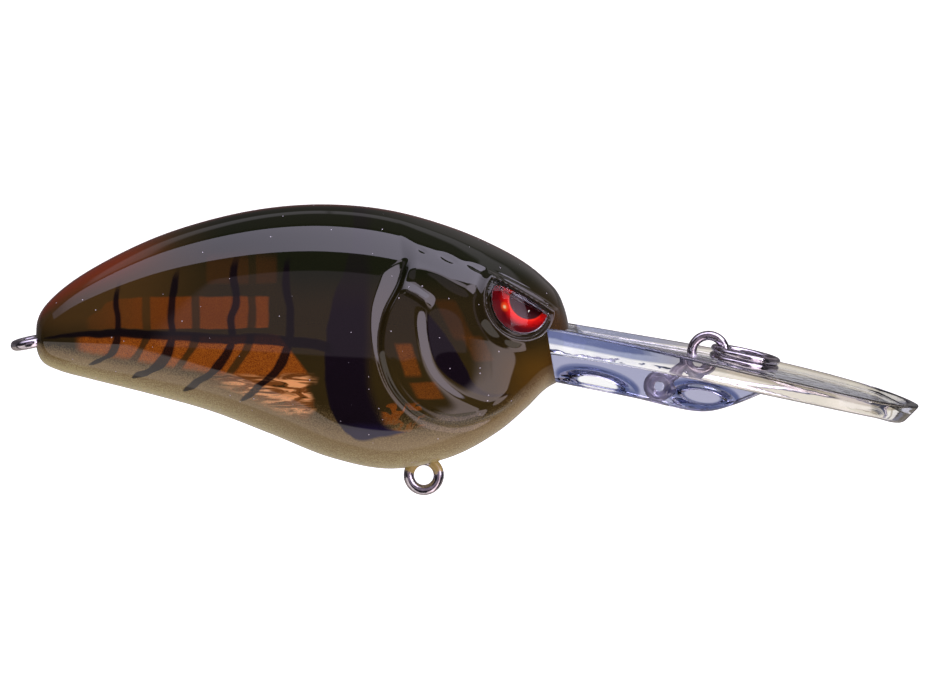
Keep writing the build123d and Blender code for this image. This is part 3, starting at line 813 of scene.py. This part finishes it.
def make_reflector(name, side):
    """Red lacquer over plating with the pupil printed on it; painted shade darkens the red toward its edge
    and a painted highlight brightens it round the pupil.
    """
    material, tree, shader = new_material(name)
    place = shader_node(tree, "TexCoord").outputs["Object"]
    gaps = []
    for spot in (pupil_place, hot_streak_place):
        printed = eye_stand @ Vector((*spot, print_level))
        printed.y *= side
        gaps.append(reckon("DIVIDE", gap_to(place, printed), mm))
    gap, hot_streak_gap = gaps
    # Painted light: the red darkens toward the bowl's edge as painted shade and turns orange round the pupil
    # as a painted highlight.
    red = layer("e60c08", "700a14", (gap, 2.5, 3.5))
    red = layer("ff300c", red, (gap, 1.9, 2.5))
    # A painted highlight beside the pupil: an orange spot with a pale yellow core, painted in the lacquer
    # where the bowl shows a hot streak of reflected light.
    colour = coats(
        "3c0004", (red, (gap, 2.0, 2.16)), ("ff5a1c", (hot_streak_gap, 0.7, 0.25)),
        ("ffe29a", (hot_streak_gap, 0.3, 0.12)))
    bump = shader_node(tree, "Bump", {
        "Height": noise(place, 2500.0), "Strength": 0.05, "Distance": 0.0001})
    feed(shader, {
        "Base Color": colour, "Metallic": fade(gap, 2.0, 2.16, 0.0, 0.35), "Roughness": 0.28,
        "Specular IOR Level": 0.12, "Normal": bump.outputs[0],
    })
    return material


def make_clear_lens():
    """Clear acrylic with faint haze in the skin."""
    material, tree, shader = new_material("clear_lens")
    haze = noise(place_in_mm(tree), 0.5)
    feed(shader, {
        "Base Color": layer(white, "fbf6f6", (haze, 0.2, 0.9)),
        "Transmission Weight": 1.0, "IOR": 1.3, "Roughness": 0.0,
    })
    return material


right_cup.data.materials.append(make_chrome())
right_cup.data.materials.append(make_reflector("red_reflector", 1))
for face in right_cup.data.polygons:
    inward = face.center.z < bowl_top and face.normal.z > 0.15
    face.material_index = 1 if inward else 0
seat(right_cup)
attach(right_cup, "lure")
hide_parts("right_eye_cup")

right_dome = cap_of_ball(
    dome_radius, dome_rings, eye_proud + dome_rise - dome_radius, eye_proud, dome_skirt,
    brow_edge + lens_lap)
right_dome.name = "right_eye_dome"
round_edges(right_dome, 0.1 * mm, 45, 40)
right_dome.data.materials.append(make_clear_lens())
seat(right_dome)
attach(right_dome, "lure")
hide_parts("right_eye_lens")

for piece, name, node, slot in (
    (right_cup, "left_eye_bowl", "left_eye_cup", "plated_eye"),
    (right_dome, "left_eye_dome", "left_eye_lens", "red_eye_lens"),
):
    other = mirrored(piece, name)
    if piece == right_cup:
        other.data.materials[1] = make_reflector("red_reflector_left", -1)
    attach(other, "lure")
    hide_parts(node)


# ---------------------------------------------------------------------------
# Wire forms: hard stainless wire bent to loops, black-nickel plated. The
# hangers were dipped with the body, so varnish gathers where they come out.
# ---------------------------------------------------------------------------
def smooth_copy(node, name):
    """A merged, smooth-shaded copy of a CAD node's mesh."""
    source = bpy.data.objects[node]
    piece = source.copy()
    piece.data = source.data.copy()
    piece.name = name
    bpy.context.scene.collection.objects.link(piece)
    piece.hide_render = False
    choose(piece)
    edit_all()
    bpy.ops.mesh.remove_doubles(threshold=0.001 * mm)
    bpy.ops.object.mode_set(mode="OBJECT")
    bpy.ops.object.shade_smooth_by_angle(angle=radians(40))
    return piece


def make_nickel(name, varnish_at, varnish_reach, moulded_in):
    """Black-nickel wire; varnish residue near the given places, and a painted highlight where moulded in."""
    material, tree, shader = new_material(name)
    place = place_in_mm(tree)
    marks = noise(place, 2.5, 4.0)
    colour = layer("a9a3ab", "c8c2ca", (marks, 0.35, 0.7))
    metal = 1.0
    for spot in varnish_at:
        ragged = sloped(marks, -0.8, reckon("ADD", gap_to(place, spot), 0.4))
        mask = fade(ragged, varnish_reach * 1.05, varnish_reach * 0.8)
        colour = layer(colour, "b09a5c", mask)
        metal = times(metal, minus(1.0, mask))
    # Painted highlight: inside the bill the wire is painted pale and less metallic, standing in for the
    # glints of the clear plastic around it.
    if moulded_in:
        height = shader_node(tree, "SeparateXYZ", {0: place}).outputs[2]
        inside = fade(height, -0.1, -0.35)
        colour = layer(colour, "e6e2ea", inside)
        metal = sloped(inside, -0.6, 1.0)
    feed(shader, {
        "Base Color": colour, "Metallic": metal, "Roughness": fade(marks, 0.3, 0.8, 0.1, 0.24)})
    return material


for node, name, slot_body, spots, varnish_reach in (
    ("line_tie_wire", "line_tie", "lure", (), 1.0),
    ("belly_hanger", "belly_hook_hanger", "lure", ((-33.5, 0, -12.9), (-30.7, 0, -12.9)), 1.0),
    ("tail_hanger", "tail_hook_hanger", "lure", ((-75.6, 0, 1.3),), 1.2),
    ("split_ring", "split_ring_coil", "ring", (), 1.0),
):
    piece = smooth_copy(node, name)
    piece.data.materials.clear()
    piece.data.materials.append(
        make_nickel(name + "_nickel", spots, varnish_reach, node == "line_tie_wire"))
    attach(piece, slot_body)
    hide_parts(node)


# ---------------------------------------------------------------------------
# Ballast and rattles: cast brass slugs glued in the belly and throat, and three
# polished bearing balls that roll loose in the body's chambers.
# ---------------------------------------------------------------------------
def make_plain_metal(name, tone, worn, smooth, dull):
    """Bare metal with faint handling marks."""
    material, tree, shader = new_material(name)
    marks = noise(place_in_mm(tree), 1.8, 5.0)
    feed(shader, {
        "Base Color": layer(tone, worn, (marks, 0.4, 0.65)),
        "Metallic": 1.0, "Roughness": fade(marks, 0.3, 0.7, smooth, dull),
    })
    return material


brass = make_plain_metal("cast_brass", "c9a458", "a37f3c", 0.28, 0.5)
steel = make_plain_metal("bearing_steel", "d2d4d8", "b9bbc0", 0.08, 0.2)
for node, metal in (
    ("belly_ballast", brass), ("throat_ballast", brass), ("tail_rattle_ball", steel),
    ("middle_rattle_ball", steel), ("head_rattle_ball", steel),
):
    node_mesh = bpy.data.objects[node].data
    node_mesh.materials.clear()
    node_mesh.materials.append(metal)


# ---------------------------------------------------------------------------
# Diving bill: one clear polycarbonate moulding. A dished plate stands on a keel
# that is hollowed from both sides; its root is held in the nose by a tang.
# ---------------------------------------------------------------------------
bill_tip = Vector((23.9 * mm, 0, -6.05 * mm))
bill_middle = Vector((2.8 * mm, 0, -0.86 * mm))
bill_root = Vector((-18.3 * mm, 0, 3.25 * mm))
root_half = 5.6 * mm
widest_half = 11.4 * mm
widest_x = 8.2 * mm
root_thickness = 3.1 * mm
middle_thickness = 2.3 * mm
tip_thickness = 1.9 * mm
throat_height = -3.4 * mm
face_lean = 1.1 * mm          # foot of the root face ahead of its top
plate_rounding = 0.3 * mm
tip_set_back = 1.9 * mm       # foot of the tip wall behind its top
rim_inset = 0.9 * mm
dish_depth = 0.5 * mm
keel_half = 2.1 * mm
keel_rounding = 0.45 * mm
keel_front_x = 7.6 * mm


def arc_through(start, middle, end):
    """Height of a flat circular arc through three points of the middle plane."""
    (ax, az), (bx, bz), (cx, cz) = ((p[0], p[2]) for p in (start, middle, end))
    turn = 2 * (ax * (bz - cz) + bx * (cz - az) + cx * (az - bz))
    a2, b2, c2 = ax * ax + az * az, bx * bx + bz * bz, cx * cx + cz * cz
    centre_x = (a2 * (bz - cz) + b2 * (cz - az) + c2 * (az - bz)) / turn
    centre_z = (a2 * (cx - bx) + b2 * (ax - cx) + c2 * (bx - ax)) / turn
    radius = sqrt((ax - centre_x) ** 2 + (az - centre_z) ** 2)
    return lambda x: centre_z + np.sqrt(radius ** 2 - (x - centre_x) ** 2)


def root_face_x(height):
    """Where the leaning root face stands at a height."""
    drop = (bill_root.z - height) / (bill_root.z - throat_height)
    return bill_root.x + face_lean * drop


plate_top = arc_through(bill_root, bill_middle, bill_tip)
plate_under = arc_through(
    (root_face_x(bill_root.z - root_thickness), 0, bill_root.z - root_thickness),
    (bill_middle.x, 0, bill_middle.z - middle_thickness),
    (bill_tip.x, 0, bill_tip.z - tip_thickness),
)
waist_x = bill_root.x + 0.3 * (widest_x - bill_root.x)
shoulder_x = widest_x + 0.72 * (bill_tip.x - widest_x)
near_side = [
    (bill_root.x, -root_half), (bill_root.x + 2 * mm, -root_half - 0.03 * mm),
    (waist_x, -root_half - 0.16 * (widest_half - root_half)),
    (widest_x, -widest_half), (shoulder_x, -0.76 * widest_half),
]
far_side = [(x, -y) for x, y in reversed(near_side)]
rim_columns = 480
outline = curve_through(near_side + [(bill_tip.x, 0)] + far_side, rim_columns + 1)
outline = (outline + outline[::-1] * (1, -1)) / 2
tangent = np.gradient(outline, axis=0)
tangent /= np.linalg.norm(tangent, axis=1, keepdims=True)
inward = np.stack((-tangent[:, 1], tangent[:, 0]), axis=1)
inward[0], inward[-1] = (0, 1), (0, -1)
spine = np.stack((np.minimum(outline[:, 0], bill_tip.x - 9 * mm), np.zeros(rim_columns + 1)), axis=1)

# Rings from the middle of the underside out round the edge to the middle of the
# dish: how far in from the outline, share of the way to the spine, side, and
# depth below the top surface or above the underside, or share of the wall.
on_underside, on_wall, on_top = 0, 1, 2
inner_start = 1.9 * mm
dish_full = 1.8 * mm
corner = [
    (plate_rounding * (1 - cos(a)), plate_rounding * (1 - sin(a)))
    for a in np.radians((0, 22, 45, 68, 90))
]
rings = [(inner_start, share, on_underside, 0) for share in np.linspace(1, 0, 14)]
rings += [(inset, 0, on_underside, 0) for inset in (1.2 * mm, 0.7 * mm)]
rings += [(inset, 0, on_underside, lift) for inset, lift in reversed(corner)]
rings += [(0, 0, on_wall, share) for share in (0.25, 0.5, 0.75)]
rings += [(inset, 0, on_top, lift) for inset, lift in corner]
rings += [(inset, 0, on_top, 0) for inset in (0.6 * mm, 0.8 * mm, 0.9 * mm)]
rings += [(inset, 0, on_top, 0) for inset in np.linspace(1.0, 1.8, 9) * mm]
rings += [(inner_start, share, on_top, 0) for share in np.linspace(0, 1, 16)]

plate, places = unit_grid("clear_diving_bill", rim_columns, len(rings) - 1)
column = np.rint(places[:, 0] * rim_columns).astype(int)
row = np.rint(places[:, 1] * (len(rings) - 1)).astype(int)
inset, share, level, lift = np.array(rings)[row].T
spot = outline[column] + inward[column] * inset[:, None]
spot = spot * (1 - share[:, None]) + spine[column] * share[:, None]
x, y = spot[:, 0], spot[:, 1]
dish_ahead = rise(x, bill_root.x + 3.2 * mm, bill_root.x + 4.2 * mm)
dish = dish_depth * rise(inset, rim_inset, dish_full) * dish_ahead
top, under = plate_top(x), plate_under(x)
z = np.where(level == on_top, top - dish - lift, under + lift)
wall_low, wall_high = under + plate_rounding, top - plate_rounding
z = np.where(level == on_wall, wall_low + (wall_high - wall_low) * lift, z)
lean = 1 - rise(x, bill_root.x, bill_root.x + 4 * mm)
x = x + lean * (root_face_x(z) - bill_root.x)
# The wall at the tip slopes back under the plate.
set_back = tip_set_back * rise(x, bill_tip.x - 6 * mm, bill_tip.x)
x = x - set_back * np.clip((top - z) / (top - under), 0, 1)
plate.data.vertices.foreach_set("co", np.stack((x, y, z), axis=1).ravel())
close_mesh(weld_gap)

# Keel: a loop round its section at each station, hollowed from both sides.
keel_foot = [(-17.2, -3.4), (-8.9, -5.05), (-0.6, -6.7), (3.0, -5.9), (7.6, -3.95)]
keel_line = curve_through(keel_foot, 400) * mm
side_steps = 44
near_wall, keel_edge, far_wall = 0, 1, 2
loop = [(near_wall, share) for share in np.linspace(1, 0, side_steps)]
loop += [(keel_edge, share) for share in np.linspace(0, 1, 13)]
loop += [(far_wall, share) for share in np.linspace(0, 1, side_steps)]
# Centre, half length, half height, tilt and depth of each hollow.
hollows = (
    (-12.5, -3.55, 4.6, 1.6, 14.0, 0.9),
    (-0.7, -5.0, 4.1, 1.6, 10.0, 0.9),
)
boss_place = (-5.55 * mm, -3.7 * mm)
keel, places = unit_grid("bill_keel", 230, len(loop) - 1)
row = np.rint(places[:, 1] * (len(loop) - 1)).astype(int)
part, share = np.array(loop)[row].T
start_x = root_face_x(throat_height)
x = start_x + places[:, 0] * (keel_front_x - start_x)
foot = np.interp(x, keel_line[:, 0], keel_line[:, 1])
head = (plate_top(x) + plate_under(x)) / 2
corner_z = np.minimum(foot + keel_rounding, head)
turn = share * pi
foot_y = -(keel_half - keel_rounding) * np.cos(turn)
round_out = keel_rounding * np.cos(turn)
side_z = corner_z + (head - corner_z) * share
hollow = np.zeros_like(x)
for centre_x, centre_z, long, high, tilt, deep in hollows:
    dx, dz = x / mm - centre_x, side_z / mm - centre_z
    slope = radians(tilt)
    along = (dx * cos(slope) - dz * sin(slope)) / long
    up = (dx * sin(slope) + dz * cos(slope)) / high
    reach = np.sqrt(along ** 2 + up ** 2)
    hollow = np.maximum(hollow, deep * mm * (1 - rise(reach, 0.5, 1.0)))
from_boss = np.hypot(x - boss_place[0], side_z - boss_place[1])
boss = 0.12 * mm * (1 - rise(from_boss, 1.0 * mm, 1.25 * mm))
boss -= 0.1 * mm * ridge(from_boss, 0.55 * mm, 0.12 * mm)
side_y = np.where(part == near_wall, -1.0, 1.0) * (keel_half + boss - hollow)
y = np.where(part == keel_edge, foot_y - round_out, side_y)
z = np.where(part == keel_edge, corner_z - keel_rounding * np.sin(turn), side_z)
lean = 1 - rise(x, start_x, start_x + 3 * mm)
x = x + lean * (root_face_x(z) - start_x)
keel.data.vertices.foreach_set("co", np.stack((x, y, z), axis=1).ravel())
# Close the top between the two sides, then both ends.
bpy.ops.object.mode_set(mode="EDIT")
bpy.ops.mesh.select_mode(type="EDGE")
bpy.ops.mesh.select_all(action="DESELECT")
bpy.ops.object.mode_set(mode="OBJECT")
top_rows = (row == 0) | (row == len(loop) - 1)
for edge in keel.data.edges:
    first, second = edge.vertices
    lengthwise = abs(places[first, 0] - places[second, 0]) > 1e-6
    edge.select = bool(top_rows[first] and top_rows[second] and lengthwise)
bpy.ops.object.mode_set(mode="EDIT")
bpy.ops.mesh.bridge_edge_loops()
select_openings()
bpy.ops.mesh.edge_face_add()
finish_mesh()

# Tang: the block that the nose grips, part of the same moulding.
choose()
bpy.ops.mesh.primitive_cube_add(size=1, location=(-20.6 * mm, 0, -0.6 * mm))
tang = bpy.context.object
tang.scale = (8.0 * mm, 3.0 * mm, 4.4 * mm)
bpy.ops.object.transform_apply(location=True, scale=True)
edit_all()
bpy.ops.mesh.bevel(offset=0.3 * mm, segments=3)
bpy.ops.object.mode_set(mode="OBJECT")
for block in (keel, tang):
    combine(plate, block, "UNION")
    bpy.data.objects.remove(block)
bpy.ops.object.shade_smooth_by_angle(angle=radians(35))

# Half width of the plate and height of its top along its length, in mm.
half_outline = outline[: rim_columns // 2 + 1]
rim_half = [
    (at, float(np.interp(at * mm, half_outline[:, 0], -half_outline[:, 1])) / mm)
    for at in (-18.3, -15.0, -12.0, -8.0, -4.0, 0.0, 4.0, 8.2, 12.0, 16.0, 19.0, 21.5, 23.0, 23.8)
]
top_line = [(at, float(plate_top(at * mm)) / mm) for at in np.linspace(-18.3, 23.9, 9)]


def hollow_reach(x, height, hollow):
    """How far a place lies from the middle of a keel hollow, 1 at its rim."""
    centre_x, centre_z, long, high, tilt, _ = hollow
    dx, dz = minus(x, centre_x), minus(height, centre_z)
    lean_cos, lean_sin = cos(radians(tilt)), sin(radians(tilt))
    along = sloped(dz, -lean_sin, times(dx, lean_cos))
    up = sloped(dx, lean_sin, times(dz, lean_cos))
    squares = [
        reckon("POWER", reckon("DIVIDE", way, half), 2.0)
        for way, half in ((along, long), (up, high))
    ]
    return reckon("SQRT", reckon("ADD", *squares))


def make_polycarbonate():
    """Clear moulding with a faint random haze of colour, and painted refraction on it: beige and
    navy-to-brown stripes along the side walls, a blue-grey keel and navy rings round its hollows.
    """
    material, tree, shader = new_material("clear_polycarbonate")
    place, x, out, height = side_view(tree)
    swirl = noise(place, 0.6)
    plate_z = sloped(out, stencil_lean, height)
    top_gap = minus(drawn_curve(x, top_line), plate_z)
    # Painted refraction: blue-grey over the keel, navy rings round its hollows, and white or grey in their
    # middles.
    keel_part = all_of((out, 2.9, 2.6), (sloped(x, 0.17, height), -1.9, -2.4))
    tint_and_painted_refraction = coats(white, ("f3f1fa", (swirl, 0.3, 0.7)), ("a9abc6", keel_part))
    for hollow, hollow_middle_refraction in zip(hollows, ("ffffff", "b2b2ca")):
        reach = hollow_reach(x, height, hollow)
        tint_and_painted_refraction = coats(
            tint_and_painted_refraction, ("56608c", all_of(keel_part, (reach, 0.44, 0.56), (reach, 1.12, 1.0))),
            (hollow_middle_refraction, all_of(keel_part, (reach, 0.56, 0.44))))
    # Painted refraction along the side walls: a beige stripe, and a navy-to-brown stripe under the top edge.
    wall = fade(minus(drawn_curve(x, rim_half), out), 0.45, 0.3)
    deep = fade(x, -10.0, 2.0, 1.7, 0.75)
    painted_band = all_of(wall, (minus(top_gap, deep), 0.2, -0.1))
    painted_wall_refraction = layer("66709c", "968a78", (x, -9.0, 4.0))
    tint_and_painted_refraction = coats(tint_and_painted_refraction, ("ebe3d6", all_of(wall, (x, -10.0, 6.0))), (painted_wall_refraction, painted_band))
    ripple = shader_node(tree, "Bump", {"Height": swirl, "Strength": 0.15, "Distance": 0.0001})
    feed(shader, {
        "Base Color": tint_and_painted_refraction, "Transmission Weight": 1.0, "IOR": 1.58, "Roughness": 0.0,
        "Normal": ripple.outputs[0],
    })
    return material


# Both shells stop at the bill: nothing of them lies ahead of its root face or
# under its top surface.
seat_back, seat_foot, seat_side = -14 * mm, -16 * mm, 12 * mm
seat_outline = [(x, plate_top(x)) for x in np.linspace(bill_root.x, seat_back, 12)]
seat_outline += [(seat_back, seat_foot), (root_face_x(seat_foot), seat_foot)]
choose()
bpy.ops.mesh.primitive_circle_add(vertices=len(seat_outline), radius=mm, fill_type="NGON")
seat_tool = bpy.context.object
for vertex, (x, z) in zip(seat_tool.data.vertices, seat_outline):
    vertex.co = (x, -seat_side, z)
edit_all()
bpy.ops.mesh.extrude_region_move(TRANSFORM_OT_translate={"value": (0, 2 * seat_side, 0)})
finish_mesh()
for shell in (right_half, left_half):
    combine(shell, seat_tool, "DIFFERENCE")
bpy.data.objects.remove(seat_tool)

plate.data.materials.clear()
plate.data.materials.append(make_polycarbonate())
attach(plate, "lure")
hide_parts("diving_bill")


# ---------------------------------------------------------------------------
# Studio: a white table and background, and one long softbox above the near flank.
# Cards toward the camera, beside the nose and below give the gloss what it
# mirrors, and the rest of the room is dark.
# ---------------------------------------------------------------------------
world = bpy.data.worlds.new("studio")
bpy.context.scene.world = world
world.use_nodes = True
tree = world.node_tree
direction = shader_node(tree, "TexCoord").outputs["Generated"]
parts = shader_node(tree, "SeparateXYZ", {0: direction}).outputs
elevation_up = times(reckon("ARCSINE", parts["Z"]), 180 / pi)
toward_camera = times(parts["Y"], -1.0)
azimuth = times(reckon("ARCTAN2", parts["X"], toward_camera), 180 / pi)


def card(azimuths, elevations, blur=0.7):
    """Mask of a lit card: degrees from the camera's side toward the nose, degrees up."""
    (left, right), (foot, top) = azimuths, elevations
    return all_of(
        (azimuth, left - blur, left + blur), (azimuth, right + blur, right - blur),
        (elevation_up, foot - blur, foot + blur), (elevation_up, top + blur, top - blur))


room = (0.03, 0.03, 0.035, 1)
pale = (1.2, 1.1, 1.05, 1)
lavender = (3.4, 3.0, 3.7, 1)
over_top = sloped(times(azimuth, azimuth), 0.0075, elevation_up)
camera_card = all_of(card((-25.5, 12), (-13, 60), 1.0), (over_top, 40.0, 38.6))
# White card lying beside the nose: its far edge runs away from the camera.
down = reckon("MAXIMUM", times(parts["Z"], -1.0), 0.001)
card_x = reckon("DIVIDE", parts["X"], down)
card_y = reckon("DIVIDE", toward_camera, down)
card_edge = minus(card_y, sloped(card_x, 1.95, -1.02))
nose_card = all_of(
    card((11, 89), (-64, 2)), (card_edge, -0.05, 0.05), (azimuth, 13, 27),
    (sloped(azimuth, 0.357, elevation_up), 5.7, 4.3))
front = coats(
    room, ((0.34, 0.28, 0.35, 1), camera_card), (pale, card((-80, -28), (-90, -12))),
    (pale, (elevation_up, -64, -66)), ((2.5, 2.05, 2.1, 1), nose_card),
    (lavender, card((26, 58), (-6, 46), 1.5)), ((40, 39, 38, 1), card((61, 64.5), (13, 17), 0.3)),
    ((2.6, 2.3, 2.8, 1), card((15, 33), (40, 58))))
# Behind the lure, what its gloss mirrors and what shows through clear pieces differ.
side_wall = all_of(card((-181, 181), (14, 50), 2.0), (parts["X"], 0.0, 0.4), (azimuth, 118, 158))
back = coats(
    (0.1, 0.09, 0.1, 1), ((0.6, 0.56, 0.62, 1), card((-180, 180), (52, 62), 2.0)),
    ((0.4, 0.36, 0.38, 1), side_wall), ((0.18, 0.17, 0.18, 1), card((-181, 181), (-12, 12), 2.0)),
    ((0.5, 0.45, 0.4, 1), (elevation_up, -12, -20)))
through = coats(
    (0.85, 0.82, 0.76, 1), (white, (elevation_up, -11, -9)),
    ((0.12, 0.14, 0.25, 1), (elevation_up, 11, 14)),
    ((0.4, 0.4, 0.42, 1), card((-180, 180), (50, 64), 2.0)))
path = shader_node(tree, "LightPath").outputs
back = layer(back, through, path["Is Transmission Ray"])
around = coats(front, (back, (parts["Y"], 0.0, 0.1)), (white, path["Is Camera Ray"]))
feed(tree.nodes["Background"], {0: around})

floor_height = -60 * mm
table_edge = -40 * mm
table_size = 3.0
choose()
bpy.ops.mesh.primitive_grid_add(
    x_subdivisions=8, y_subdivisions=8, size=table_size,
    location=(0, table_edge + table_size / 2, floor_height))
floor = bpy.context.object
floor.name = "white_table"
bpy.ops.object.transform_apply(location=True)
table_paint, tree, shader = new_material("white_table")
path = shader_node(tree, "LightPath").outputs
place = shader_node(tree, "TexCoord").outputs["Object"]
away = shader_node(tree, "VectorMath", {0: place}, operation="LENGTH").outputs["Value"]
feed(shader, {
    "Base Color": (0.82, 0.8, 0.78, 1), "Roughness": 0.9, "Emission Color": white,
    "Emission Strength": all_of(path["Is Camera Ray"], (away, 0.12, 0.4, 0.5, 1.0)),
})
floor.data.materials.append(table_paint)
floor.visible_glossy = False
floor.visible_transmission = False

softbox_reach = 0.5
softbox_lift = radians(72.3)
softbox_length = 1.5
softbox_width = 0.29
softbox_aim = Vector((-45 * mm, 0, 0))
softbox_stand = softbox_reach * Vector((0, -cos(softbox_lift), sin(softbox_lift)))
choose()
bpy.ops.mesh.primitive_plane_add(size=1)
softbox = bpy.context.object
softbox.name = "softbox"
facing = (-softbox_stand).to_track_quat("-Z", "Y").to_matrix().to_4x4()
softbox.data.transform(
    Matrix.Translation(softbox_aim + softbox_stand) @ facing
    @ Matrix.Diagonal((softbox_length, softbox_width, 1, 1)))
silk, tree, shader = new_material("softbox_silk")
tree.nodes.remove(shader)
place = shader_node(tree, "TexCoord").outputs["Object"]
across = shader_node(tree, "SeparateXYZ", {0: place}).outputs[0]
bright = shader_node(tree, "MapRange", {0: across, 1: -0.7, 2: 0.35, 3: 0.7, 4: 5.0})
glow = shader_node(tree, "Emission", {0: (0.84, 0.78, 1.0, 1), 1: bright.outputs[0]})
feed(tree.nodes["Material Output"], {0: glow.outputs[0]})
softbox.data.materials.append(silk)

bpy.ops.object.camera_add()
camera = bpy.context.object
camera.name = "camera"
bpy.context.scene.camera = camera
distance = 1.2
elevation = radians(5.3)
frame_width = 105.2 * mm      # seen at the target's distance
sensor_width = 36
target = Vector((-27.28 * mm, 0, 0.23 * mm))
camera.location = target + distance * Vector((0, -cos(elevation), sin(elevation)))
camera.rotation_euler = (target - camera.location).to_track_quat("-Z", "Y").to_euler()
camera.data.sensor_width = sensor_width
camera.data.lens = sensor_width * distance / frame_width
camera.data.clip_end = 20

bpy.context.scene.view_settings.view_transform = "Standard"
